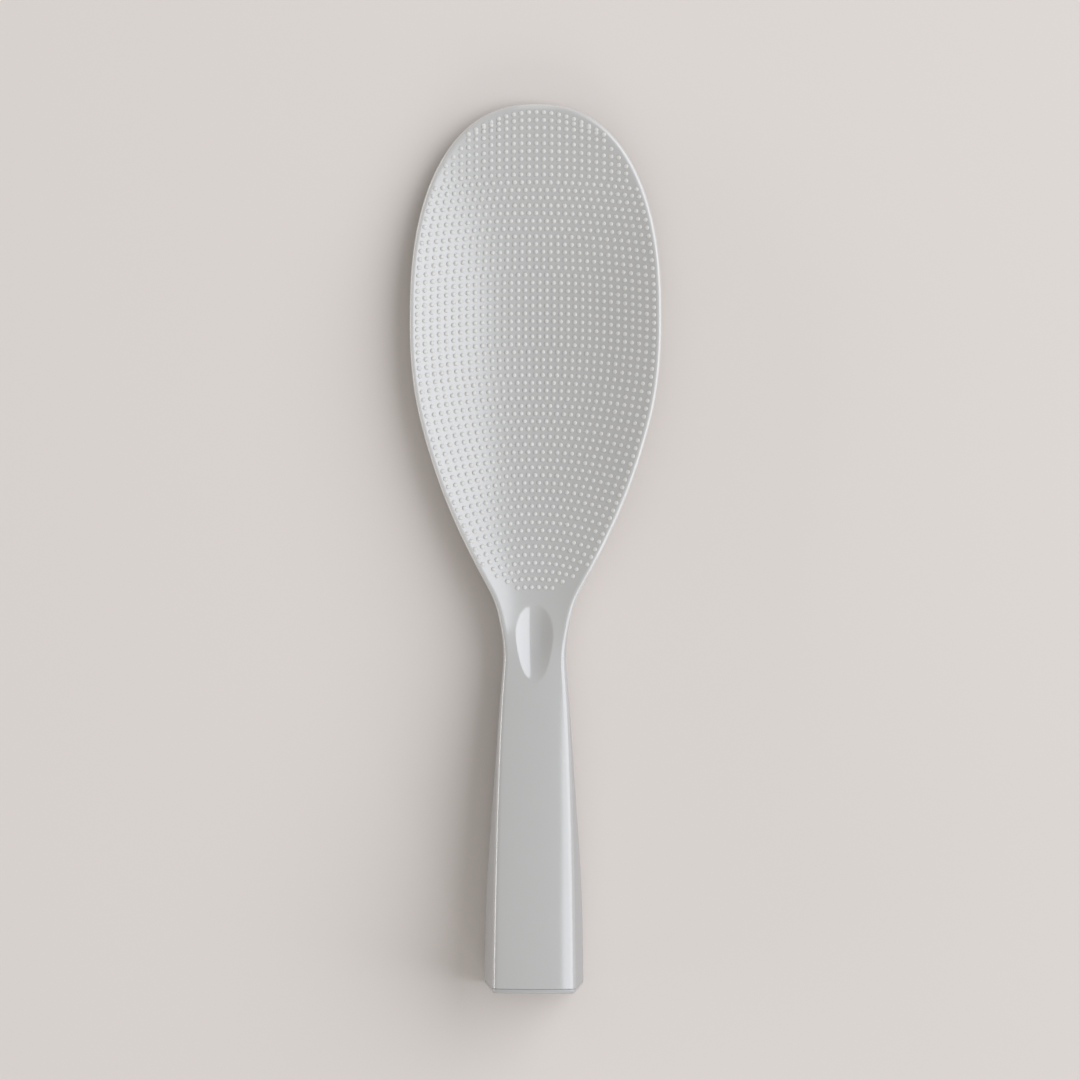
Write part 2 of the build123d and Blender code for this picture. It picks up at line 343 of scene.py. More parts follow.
@dataclass(frozen=True)
class PaddleForm:
    """The paddle's outer form: driving sizes in metres, and how each varies from foot to tip."""

    length: float = 220 * MM
    blade_width: float = 62.6 * MM
    neck_width: float = 15.6 * MM
    foot_front_width: float = 20.4 * MM
    foot_back_width: float = 25.4 * MM
    foot_depth: float = 27 * MM
    neck_depth: float = 8.6 * MM
    neck_lift: float = 4 * MM
    tip_lift: float = 3.1 * MM
    bowl_depth: float = 7.25 * MM
    crown_height: float = 1.24 * MM
    blade_thickness: float = 2.2 * MM
    rim_thickness: float = 1.9 * MM
    rim_round: float = 1.1 * MM
    rim_heel: float = 0.6 * MM
    rim_reach: float = 1.25 * MM
    shoulder_round: float = 1.3 * MM
    heel_round: float = 3.5 * MM

    widest_place: float = 0.759
    end_power: float = 2.35

    # Half-width of the front edge: place, share of foot, share of blade, both counted from the neck
    front_edge_rows: tuple = (
        (0, 1, 0), (0.055, 0.95, 0), (0.115, 0.87, 0), (0.18, 0.76, 0), (0.245, 0.6, 0),
        (0.314, 0.34, 0), (0.35, 0.12, 0), (0.382, 0, 0), (0.41, 0, 0.034), (0.436, 0, 0.098),
        (0.459, 0, 0.205), (0.482, 0, 0.32), (0.527, 0, 0.525), (0.568, 0, 0.68), (0.614, 0, 0.82),
        (0.659, 0, 0.926), (0.709, 0, 0.987), (0.759, 0, 1), (0.81, 0, 0.987),
    )

    # Half-width of the back edge beyond the front edge: place, share of the foot's flare
    back_flare_rows: tuple = (
        (0, 1), (0.055, 0.98), (0.115, 0.9), (0.18, 0.6), (0.245, 0.3), (0.314, 0.08), (0.35, 0.02),
        (0.382, 0), (0.42, 0), (0.5, 0), (0.7, 0), (1, 0),
    )

    # Height of the underside's middle: place, share of neck lift, share of tip lift
    under_line_rows: tuple = (
        (0, 0, 0), (0.055, 0.04, 0), (0.115, 0.16, 0), (0.18, 0.35, 0), (0.245, 0.575, 0),
        (0.314, 0.81, 0), (0.382, 1.01, 0), (0.436, 1.07, 0), (0.5, 0.9, 0), (0.568, 0.57, 0),
        (0.659, 0.18, 0), (0.709, 0.06, 0), (0.77, 0, 0), (0.818, 0, 0.02), (0.864, 0, 0.085),
        (0.932, 0, 0.37), (1, 0, 1),
    )

    # Thickness at the middle: place, shares of foot depth, neck depth and blade thickness, rest rim
    thickness_rows: tuple = (
        (0, 1, 0, 0), (0.055, 0.91, 0.09, 0), (0.115, 0.764, 0.236, 0), (0.18, 0.59, 0.41, 0),
        (0.245, 0.402, 0.598, 0), (0.314, 0.196, 0.804, 0), (0.382, 0, 1, 0),
        (0.409, 0, 0.82, 0.18), (0.436, 0, 0.65, 0.35), (0.5, 0, 0.33, 0.67),
        (0.568, 0, 0.11, 0.89), (0.659, 0, 0.015, 0.985), (0.77, 0, 0, 1), (0.864, 0, 0, 0.9),
        (0.932, 0, 0, 0.6), (1, 0, 0, 0),
    )

    # Curvature across the front: place, share of the bowl's, share of the handle crown's
    curvature_rows: tuple = (
        (0, 0, 1), (0.1, 0, 1), (0.2, 0, 1), (0.3, 0, 1), (0.345, 0, 0.93), (0.375, 0, 0.4),
        (0.39, 0.75, 0), (0.403, 1.7, 0), (0.418, 2, 0), (0.436, 2, 0), (0.459, 1.8, 0),
        (0.5, 1.34, 0), (0.568, 1.17, 0), (0.659, 1.02, 0), (0.709, 1, 0), (0.77, 1, 0),
        (0.818, 0.92, 0), (0.864, 0.8, 0), (0.932, 0.62, 0), (1, 0.55, 0),
    )

    # How far the side's foot has risen from the underside's middle to the rim's thin edge
    side_rise_rows: tuple = (
        (0, 0), (0.2, 0), (0.35, 0), (0.382, 0.02), (0.409, 0.14), (0.436, 0.36), (0.459, 0.57),
        (0.5, 0.81), (0.568, 0.965), (0.64, 1), (0.8, 1), (1, 1),
    )

    # Front and heel rounding: place, share of the handle's rounding over the rim's
    rounding_rows: tuple = (
        (0, 1, 1), (0.15, 1, 0.95), (0.3, 0.9, 0.75), (0.382, 0.6, 0.52), (0.436, 0.3, 0.36),
        (0.5, 0.1, 0.14), (0.568, 0.02, 0.02), (0.64, 0, 0), (0.8, 0, 0), (1, 0, 0),
    )

    lines: dict[str, Line] = field(init=False, repr=False)

    def __post_init__(self) -> None:
        """Draws the lines from foot to tip once."""
        half_blade = self.blade_width / 2
        half_foot = self.foot_front_width / 2
        bowl = 2 * self.bowl_depth / half_blade**2
        crown = 2 * self.crown_height / half_foot**2
        depths = (self.foot_depth, self.neck_depth, self.blade_thickness)
        flare = (self.foot_back_width - self.foot_front_width) / 2
        fronts = [row[:2] for row in self.rounding_rows]
        heels = [(row[0], row[2]) for row in self.rounding_rows]
        lines = {
            "edge": blended_line(self.front_edge_rows, (half_foot, half_blade), self.neck_width / 2),
            "flare": blended_line(self.back_flare_rows, (flare,)),
            "under": blended_line(self.under_line_rows, (self.neck_lift, self.tip_lift)),
            "thickness": blended_line(self.thickness_rows, depths, self.rim_thickness),
            "curvature": blended_line(self.curvature_rows, (bowl, -crown)),
            "rise": blended_line(self.side_rise_rows, (1.0,)),
            "front_round": blended_line(fronts, (self.shoulder_round,), self.rim_round),
            "front_reach": blended_line(fronts, (self.shoulder_round,), self.rim_reach),
            "heel_round": blended_line(heels, (self.heel_round,), self.rim_heel),
        }
        object.__setattr__(self, "lines", lines)

    def y_at(self, place: float) -> float:
        """Returns the distance along the paddle of a place, a share of its length from the foot."""
        return (place - 0.5) * self.length

    def place_at(self, y: float) -> float:
        """Returns the place at a distance along the paddle."""
        return y / self.length + 0.5

    def front_edge(self, place: float) -> float:
        """Finds the half-width of the outline: a smooth line up to the widest place, then a superellipse.

        Args:
            place: Share of the length from the foot.

        Returns:
            The half-width.
        """
        if place <= self.widest_place:
            return self.lines["edge"](place)
        reach = min((place - self.widest_place) / (1 - self.widest_place), 1.0)
        return self.blade_width / 2 * (1 - reach**self.end_power) ** (1 / self.end_power)

    def end_place(self, angle: float) -> float:
        """Returns the place on the blade's end whose superellipse angle is given in degrees."""
        reach = math.sin(math.radians(angle)) ** (2 / self.end_power)
        return self.widest_place + (1 - self.widest_place) * reach

    def section(self, place: float) -> Section:
        """Draws the cross-section at a place.

        Args:
            place: Share of the length from the foot.

        Returns:
            The section of the solid paddle.
        """
        half = self.front_edge(place)
        slope = (half - self.front_edge(place - SLOPE_STEP)) / (SLOPE_STEP * self.length)
        under = self.lines["under"](place)
        thickness = self.lines["thickness"](place)
        front = under + thickness
        rise = self.lines["curvature"](place) * half**2 / 2
        return Section(
            y=self.y_at(place),
            front_half=half,
            back_half=half + self.lines["flare"](place),
            front_middle=front,
            front_corner=front + rise,
            under_middle=under,
            under_corner=under + self.lines["rise"](place) * (rise + thickness - self.rim_thickness),
            front_round=self.lines["front_round"](place),
            front_reach=self.lines["front_reach"](place),
            heel_round=self.lines["heel_round"](place),
            across=math.hypot(1, slope),
        )

    def front_height(self, x: float, y: float) -> float:
        """Returns the height of the front surface, before anything is pressed into it."""
        return self.section(self.place_at(y)).front_at(x)

    def front_normal(self, x: float, y: float, step: float = 0.05 * MM) -> Vector:
        """Finds the direction that the front surface faces.

        Args:
            x: Distance from the middle.
            y: Distance along the paddle.
            step: Distance to the neighbouring heights that the slope is taken from.

        Returns:
            The unit normal.
        """
        across = (self.front_height(x + step, y) - self.front_height(x - step, y)) / (2 * step)
        along = (self.front_height(x, y + step) - self.front_height(x, y - step)) / (2 * step)
        return Vector((-across, -along, 1)).normalized()


@dataclass(frozen=True)
class ThumbRecess:
    """Oval recess that the thumb finds on the neck, as a rounded wheel presses it."""

    width: float = 8.6 * MM
    length: float = 19 * MM
    depth: float = 1.36 * MM
    place: float = 0.391
    edge_softness: float = 0.16 * MM

    def wheel(self, form: PaddleForm) -> tuple[float, float, float, float]:
        """Places the wheel over the neck.

        Args:
            form: The paddle's outer form.

        Returns:
            The wheel's radius across and along, and its axis's y and z.
        """
        across = ((self.width / 2) ** 2 + self.depth**2) / (2 * self.depth)
        along = ((self.length / 2) ** 2 + self.depth**2) / (2 * self.depth)
        spot = form.section(self.place)
        ahead = form.section(self.place + SLOPE_STEP)
        fall = (ahead.front_middle - spot.front_middle) / (ahead.y - spot.y)
        lift = (along - self.depth) / math.hypot(1, fall)
        return across, along, spot.y - fall * lift, spot.front_middle + lift

    def press(self, form: PaddleForm) -> Press:
        """Makes the rule that presses the recess into the front.

        Args:
            form: The paddle's outer form.

        Returns:
            A function of x, y and the front's height that gives the pressed height.
        """
        across, along, axis_y, axis_z = self.wheel(form)

        def pressed(x: float, y: float, height: float) -> float:
            """Takes the lower of front and wheel, with a soft edge where they meet.

            Args:
                x: Distance from the middle.
                y: Distance along the paddle.
                height: The front's height there before anything is pressed into it.

            Returns:
                The height that is left.
            """
            if abs(x) >= across or abs(y - axis_y) >= self.length:
                return height
            radius = along - across + math.sqrt(across**2 - x**2)
            if abs(y - axis_y) >= radius:
                return height
            floor = axis_z - math.sqrt(radius**2 - (y - axis_y) ** 2)
            overlap = max(self.edge_softness - abs(height - floor), 0.0) / self.edge_softness
            return min(height, floor) - overlap**2 * self.edge_softness / 4

        return pressed


def linear_colour(code: str) -> tuple[float, float, float, float]:
    """Turns an sRGB colour into the linear one that a shader takes.

    Args:
        code: Six hexadecimal digits, with or without a hash.

    Returns:
        Red, green, blue and 1.
    """
    digits = code.lstrip("#")
    channels = [int(digits[i : i + 2], 16) / 255 for i in (0, 2, 4)]
    red, green, blue = (
        c / SRGB_SLOPE if c <= SRGB_START else ((c + SRGB_OFFSET) / (1 + SRGB_OFFSET)) ** SRGB_POWER
        for c in channels
    )
    return red, green, blue, 1.0


def add_node(tree: bpy.types.NodeTree, kind: str, settings: dict | None = None, inputs: dict | None = None,
             links: dict | None = None) -> bpy.types.Node:
    """Adds a node with its settings, values and links.

    Args:
        tree: The material's or world's node tree.
        kind: The node's type.
        settings: Values of the node's own properties.
        inputs: Values of its input sockets, by name or number.
        links: The output sockets that feed its input sockets, by name or number.

    Returns:
        The node.
    """
    node = tree.nodes.new(kind)
    for name, value in (settings or {}).items():
        setattr(node, name, value)
    for name, value in (inputs or {}).items():
        node.inputs[name].default_value = value
    for name, output in (links or {}).items():
        tree.links.new(output, node.inputs[name])
    return node


def new_material(name: str) -> tuple[bpy.types.Material, bpy.types.NodeTree]:
    """Starts a node material with nothing in it.

    Args:
        name: The material's name.

    Returns:
        The material and its empty node tree.
    """
    material = bpy.data.materials.new(name)
    material.use_nodes = True
    material.node_tree.nodes.clear()
    return material, material.node_tree


@dataclass(frozen=True)
class MouldedPolypropylene:
    """Light grey polypropylene from a polished mould.

    The eye gets a clean mirror edge on each shoulder over an even, slightly cloudy grey, and a faint
    orange-peel waviness where a broad reflection falls. The mould is less polished round the blade
    and the neck than at the handle and in the thumb recess, so reflections spread more there. The
    handle's side walls come satin from the mould, and their colour is painted a shade darker than the
    front as painted shade. A paler colour along the blade's thin edge is a painted highlight, a pale
    line all round. A piece without the body's attributes has neither satin walls with painted shade
    nor the painted edge highlight.
    """

    name: str = "moulded_polypropylene"
    colour: str = "#B0AEAB"
    cloud_colour: str = "#AEACA9"
    # The pale edge colour is a painted highlight along the blade's thin edge; the darker wall colour is
    # painted shade on the handle's side walls
    painted_edge_highlight_colour: str = "#CBC9C4"
    painted_wall_shade_colour: str = "#9F9E9C"
    roughness: float = 0.13
    blade_roughness: float = 0.24
    wall_roughness: float = 0.5

    # Polypropylene has an IOR of about 1.49; the object's reflections ask for a little more
    ior: float = 1.6
    specular_level: float = 0.8

    cloud_width: float = 9 * MM
    cloud_detail: float = 1.0
    ripple_width: float = 2.2 * MM
    ripple_detail: float = 1.0
    ripple_height: float = 0.0003 * MM
    grain_width: float = 0.35 * MM
    grain_detail: float = 2.0
    grain_spread: float = 0.02

    # Distances along the paddle between which the handle's polish fades to the blade's
    polish_end: float = -27 * MM
    dull_start: float = -18 * MM

    def tone(self, tree: bpy.types.NodeTree, place: bpy.types.NodeSocket) -> bpy.types.NodeSocket:
        """Mixes the clouded grey with painted shade on the side walls and a painted highlight along the
        thin edge.

        Args:
            tree: The material's node tree.
            place: The place on the piece.

        Returns:
            The colour.
        """
        clouds = add_node(tree, "ShaderNodeTexNoise",
                          inputs={"Scale": 1 / self.cloud_width, "Detail": self.cloud_detail},
                          links={"Vector": place})
        colour = add_node(tree, "ShaderNodeMix", {"data_type": "RGBA"},
                          {"A": linear_colour(self.colour), "B": linear_colour(self.cloud_colour)},
                          {"Factor": clouds.outputs["Fac"]})
        # Painted shade on the side walls, then a painted highlight along the blade's thin edge
        for mark, code in ((WALL_SATIN_AND_PAINTED_SHADE, self.painted_wall_shade_colour), (PAINTED_EDGE_HIGHLIGHT, self.painted_edge_highlight_colour)):
            marked = add_node(tree, "ShaderNodeAttribute", {"attribute_name": mark})
            colour = add_node(tree, "ShaderNodeMix", {"data_type": "RGBA"}, {"B": linear_colour(code)},
                              {"Factor": marked.outputs["Fac"], "A": colour.outputs["Result"]})
        return colour.outputs["Result"]

    def gloss(self, tree: bpy.types.NodeTree, place: bpy.types.NodeSocket) -> bpy.types.NodeSocket:
        """Spreads the roughness: polished handle and recess, duller blade, satin walls and fine grain.

        Args:
            tree: The material's node tree.
            place: The place on the piece.

        Returns:
            The roughness.
        """
        along = add_node(tree, "ShaderNodeSeparateXYZ", links={"Vector": place}).outputs["Y"]
        finish = add_node(tree, "ShaderNodeMapRange",
                          inputs={"From Min": self.polish_end, "From Max": self.dull_start,
                                  "To Min": self.roughness, "To Max": self.blade_roughness},
                          links={"Value": along})
        for mark, roughness in ((IN_RECESS, self.roughness), (WALL_SATIN_AND_PAINTED_SHADE, self.wall_roughness)):
            marked = add_node(tree, "ShaderNodeAttribute", {"attribute_name": mark})
            finish = add_node(tree, "ShaderNodeMix", {"data_type": "FLOAT"}, {"B": roughness},
                              {"Factor": marked.outputs["Fac"], "A": finish.outputs["Result"]})
        grain = add_node(tree, "ShaderNodeTexNoise",
                         inputs={"Scale": 1 / self.grain_width, "Detail": self.grain_detail},
                         links={"Vector": place})
        unevenness = add_node(tree, "ShaderNodeMapRange",
                              inputs={"To Min": -self.grain_spread, "To Max": self.grain_spread},
                              links={"Value": grain.outputs["Fac"]})
        uneven = add_node(tree, "ShaderNodeMath", {"operation": "ADD"},
                          links={0: finish.outputs["Result"], 1: unevenness.outputs["Result"]})
        return uneven.outputs["Value"]

    def material(self) -> bpy.types.Material:
        """Makes the plastic: clouded colour, uneven gloss and a very slight ripple.

        Returns:
            The material.
        """
        material, tree = new_material(self.name)
        place = add_node(tree, "ShaderNodeTexCoord").outputs["Object"]
        ripple = add_node(tree, "ShaderNodeTexNoise",
                          inputs={"Scale": 1 / self.ripple_width, "Detail": self.ripple_detail},
                          links={"Vector": place})
        relief = add_node(tree, "ShaderNodeBump", inputs={"Strength": 1.0, "Distance": self.ripple_height},
                          links={"Height": ripple.outputs["Fac"]})
        plastic = add_node(tree, "ShaderNodeBsdfPrincipled",
                           inputs={"IOR": self.ior, "Specular IOR Level": self.specular_level},
                           links={"Base Color": self.tone(tree, place),
                                  "Roughness": self.gloss(tree, place), "Normal": relief.outputs["Normal"]})
        add_node(tree, "ShaderNodeOutputMaterial", links={"Surface": plastic.outputs["BSDF"]})
        return material


@dataclass(frozen=True)
class PaintedHighlightDotPolypropylene(MouldedPolypropylene):
    """The same polypropylene in the small raised dots.

    The dots' colour is painted paler than the wall behind them: a painted highlight that stands in
    for the light each catches.
    the plastic lets some of it through.
    """

    name: str = "dot_polypropylene_painted_highlight"
    # A paler grey than the body's: painted highlight on the dots
    colour: str = "#C3C1BC"
    cloud_colour: str = "#C1BFBA"
    roughness: float = 0.62
    blade_roughness: float = 0.62


@dataclass(frozen=True)
class PaintedShadeCapPolypropylene(MouldedPolypropylene):
    """The same polypropylene in the base cap, satin like the handle's side walls.

    Its colour is painted a shade darker than the body's, as painted shade at the foot, and the eye sees the
    foot's edge as a soft darker line in place of a mirror's.
    """

    name: str = "cap_polypropylene_painted_shade"
    # A darker grey than the body's: painted shade at the foot
    colour: str = "#A3A2A0"
    cloud_colour: str = "#A1A09E"
    roughness: float = 0.45
    blade_roughness: float = 0.45


@dataclass(frozen=True)
class TurnedSteel:
    """Bright steel bar from the lathe.

    The eye gets fine rings round the bar, which draw the highlight out along it.
    """

    name: str = "turned_steel"
    colour: str = "#B4B6B8"
    dark_colour: str = "#8E9194"
    roughness: float = 0.32

    # A lathe's marks are about 0.2 mm apart; these are drawn coarser, so that they show
    groove_pitch: float = 1.2566 * MM
    groove_height: float = 0.004 * MM
    groove_waver: float = 0.4

    def material(self) -> bpy.types.Material:
        """Makes the steel, with tool marks in bands along the bar.

        Returns:
            The material.
        """
        material, tree = new_material(self.name)
        place = add_node(tree, "ShaderNodeTexCoord").outputs["Object"]
        scale = 2 * math.pi / (WAVE_TURN * self.groove_pitch)
        rings = add_node(tree, "ShaderNodeTexWave", {"bands_direction": "Y"},
                         {"Scale": scale, "Distortion": self.groove_waver}, {"Vector": place})
        colour = add_node(tree, "ShaderNodeMix", {"data_type": "RGBA"},
                          {"A": linear_colour(self.colour), "B": linear_colour(self.dark_colour)},
                          {"Factor": rings.outputs["Fac"]})
        relief = add_node(tree, "ShaderNodeBump", inputs={"Distance": self.groove_height},
                          links={"Height": rings.outputs["Fac"]})
        steel = add_node(tree, "ShaderNodeBsdfPrincipled",
                         inputs={"Metallic": 1.0, "Roughness": self.roughness},
                         links={"Base Color": colour.outputs["Result"], "Normal": relief.outputs["Normal"]})
        add_node(tree, "ShaderNodeOutputMaterial", links={"Surface": steel.outputs["BSDF"]})
        return material


@dataclass(frozen=True)
class PaleTable:
    """Matt pale stone-coloured table, plain all over."""

    name: str = "pale_table"
    colour: str = "#D2CAC4"

    def material(self) -> bpy.types.Material:
        """Makes the table's plain matt finish.

        Returns:
            The material.
        """
        material, tree = new_material(self.name)
        matt = add_node(tree, "ShaderNodeBsdfDiffuse", inputs={"Color": linear_colour(self.colour)})
        add_node(tree, "ShaderNodeOutputMaterial", links={"Surface": matt.outputs["BSDF"]})
        return material


def deselect() -> None:
    """Leaves edit mode and clears the selection, so that an operator acts on the new piece alone."""
    if bpy.context.object and bpy.context.object.mode != "OBJECT":
        bpy.ops.object.mode_set(mode="OBJECT")
    bpy.ops.object.select_all(action="DESELECT")


def added(name: str) -> bpy.types.Object:
    """Names the primitive just added.

    Args:
        name: The name of its object and mesh.

    Returns:
        The primitive's object.
    """
    piece = bpy.context.object
    piece.name = name
    piece.data.name = name
    return piece


def finish_piece(piece: bpy.types.Object, finish: bpy.types.Material, slot: Slot) -> None:
    """Dresses a finished piece and ties it to the paddle.

    Args:
        piece: The piece, with its place in its mesh.
        finish: Its material.
        slot: The record's material slot that the finish stands for; not used.
    """
    piece.data.materials.clear()
    piece.data.materials.append(finish)
    if "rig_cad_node" not in piece:
        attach(piece, "root")
    log.info("%s: %d faces, %s", piece.name, len(piece.data.polygons), finish.name)


@dataclass
class MouldedBody:
    """Blade, neck and handle in one moulded shell, open at the foot where the base cap closes it."""

    form: PaddleForm
    recess: ThumbRecess
    columns: RingColumns = field(default_factory=RingColumns)
    cap_lip: float = 1.2 * MM
    joint_bevel: float = 0.03 * MM
    wall: float = 2.2 * MM
    pocket_length: float = 72 * MM
    pocket_corner: float = 0.6 * MM
    pocket_rings: int = 8

    # Distances between rings on each stretch, and how far the finer ones reach beyond the recess
    handle_step: float = 1.1 * MM
    recess_step: float = 0.15 * MM
    recess_margin: float = 0.7 * MM
    blade_step: float = 0.75 * MM
    tip_rings: int = 64

    # Degrees of the tip's last ring on the superellipse, and the sharpest bend that is smoothed over
    tip_angle: float = 89.2
    smooth_angle: float = 32.0

    # Places where the joint's offset is used up, where the edge begins to thin and where it is thin
    joint_settle: float = 0.15
    thick_until: float = 0.39
    thin_from: float = 0.5
    tip_edge: float = 1.6 * MM

    def pocket(self) -> list[Section]:
        """Draws the hollow that the handle is cored with.

        Returns:
            Its sections, from its closed end to its mouth at the joint.
        """
        reach = (self.cap_lip + self.pocket_length) / self.form.length
        mouth = self.cap_lip / self.form.length
        places = [reach + (mouth - reach) * i / self.pocket_rings for i in range(self.pocket_rings + 1)]
        return [self.form.section(place).inside(self.wall, self.pocket_corner) for place in places]

    def joint(self) -> list[Section]:
        """Draws the bevel round the joint with the base cap.

        Returns:
            Its two sections, the inner one first.
        """
        foot = self.form.section(0.0)
        joint_y = self.form.y_at(0) + self.cap_lip
        inner = replace(foot.inside(self.joint_bevel, self.joint_bevel), y=joint_y)
        return [inner, replace(foot, y=joint_y + self.joint_bevel)]

    def settled(self, y: float) -> Section:
        """Draws a section of the handle that runs on smoothly from the foot's section at the joint.

        The joint keeps the foot's own section, and the offset that this takes fades out along a
        smooth step.

        Args:
            y: Distance along the paddle.

        Returns:
            The section at that distance.
        """
        start = (self.cap_lip + self.joint_bevel) / self.form.length
        place = self.form.place_at(y)
        share = min(max((place - start) / (self.joint_settle - start), 0.0), 1.0)
        behind = start * (1 - share) ** 2 * (1 + 2 * share)
        return replace(self.form.section(place - behind), y=y)

    def rounded_tip(self, place: float) -> Section:
        """Draws a section of the blade, drawn thin within a rim's rounding of the tip.

        Args:
            place: Share of the length from the foot.

        Returns:
            The section.
        """
        section = self.form.section(place)
        radius = self.form.rim_thickness / 2
        past = section.y - (self.form.length / 2 - radius)
        if past <= 0:
            return section
        return section.thinned(math.sqrt(1 - (past / radius) ** 2))

    def stretch(self, start: float, end: float, step: float) -> list[float]:
        """Returns distances from a start up to, but without, an end, in even steps near a given one."""
        count = max(round((end - start) / step), 1)
        return [start + (end - start) * i / count for i in range(count)]

    def sections(self) -> list[Section]:
        """Draws the whole shell.

        Returns:
            Every section, from the hollow's closed end out over the joint to the blade's tip.
        """
        form = self.form
        joint = self.joint()
        middle = form.y_at(self.recess.place)
        reach = self.recess.length / 2 + self.recess_margin
        widest = form.y_at(form.widest_place)
        rows = self.stretch(joint[-1].y, middle - reach, self.handle_step)[1:]
        rows += self.stretch(middle - reach, middle + reach, self.recess_step)
        rows += self.stretch(middle + reach, widest, self.blade_step)
        angles = [self.tip_angle * i / self.tip_rings for i in range(self.tip_rings + 1)]
        tip = [self.rounded_tip(form.end_place(angle)) for angle in angles]
        return self.pocket() + joint + [self.settled(y) for y in rows] + tip

    def thinness(self, y: float) -> float:
        """Returns how far the edge has thinned at a distance along: 0 on the handle, 1 on the blade."""
        reach = (self.form.place_at(y) - self.thick_until) / (self.thin_from - self.thick_until)
        return min(max(reach, 0.0), 1.0)

    def tip_share(self, y: float) -> float:
        """Returns how far into the tip's thin edge a distance along lies: 0 before it, 1 at the end."""
        past = y - (self.form.length / 2 - self.tip_edge)
        return min(max(past / self.tip_edge, 0.0), 1.0)

    def close(self) -> None:
        """Welds the seam of the sheet just laid, fills its two ends and smooths it."""
        bpy.ops.object.mode_set(mode="EDIT")
        bpy.ops.mesh.select_all(action="SELECT")
        bpy.ops.mesh.remove_doubles(threshold=WELD)
        bpy.ops.mesh.select_all(action="DESELECT")
        bpy.ops.mesh.select_mode(type="EDGE")
        bpy.ops.mesh.select_non_manifold()
        bpy.ops.mesh.fill()
        bpy.ops.mesh.select_all(action="SELECT")
        bpy.ops.mesh.normals_make_consistent(inside=False)
        bpy.ops.object.mode_set(mode="OBJECT")
        bpy.ops.object.shade_smooth_by_angle(angle=math.radians(self.smooth_angle))

    def build(self) -> bpy.types.Object:
        """Wraps a sheet round the sections, marks its thin edge for a painted highlight, its recess, and
        its walls for satin and painted shade, and closes it.

        The form is one free curve from foot to tip, which no run of extrusions gives, so the
        sheet's points are laid on the sections one ring at a time.

        Returns:
            The body, in place.
        """
        sections = self.sections()
        around = self.columns.total()
        along = len(sections) - 1
        deselect()
        bpy.ops.mesh.primitive_grid_add(x_subdivisions=around, y_subdivisions=along, size=1)
        body = added("moulded_body")
        press = self.recess.press(self.form)
        rings = [section.ring(self.columns, press) for section in sections]
        outward = self.columns.outward()
        marks = (PAINTED_EDGE_HIGHLIGHT, IN_RECESS, WALL_SATIN_AND_PAINTED_SHADE)
        for mark in marks:
            body.data.attributes.new(mark, "FLOAT", "POINT")
        painted_highlight, recess, wall = (body.data.attributes[mark].data for mark in marks)
        for vertex in body.data.vertices:
            column = round((vertex.co.x + 0.5) * around)
            row = round((vertex.co.y + 0.5) * along)
            section = sections[row]
            vertex.co = rings[row][column]
            thinness = self.thinness(section.y)
            # Where the edge highlight is painted: the blade's edge rounding, and the tip
            painted_highlight[vertex.index].value = max(outward[column] * thinness, self.tip_share(section.y))
            # Where the handle's walls turn satin and take painted shade
            wall[vertex.index].value = outward[column] ** 2 * (1 - thinness)
            if column <= self.columns.front:
                depth = section.front_at(vertex.co.x) - vertex.co.z
                recess[vertex.index].value = min(depth / self.recess.edge_softness, 1.0)
        self.close()
        return body

    def make(self, finish: bpy.types.Material) -> None:
        """Builds the body, dresses it and hides the solid that it stands in for.

        Args:
            finish: The body's plastic.
        """
        body = self.build()
        finish_piece(body, finish, Slot.BODY)
        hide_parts("paddle_body")


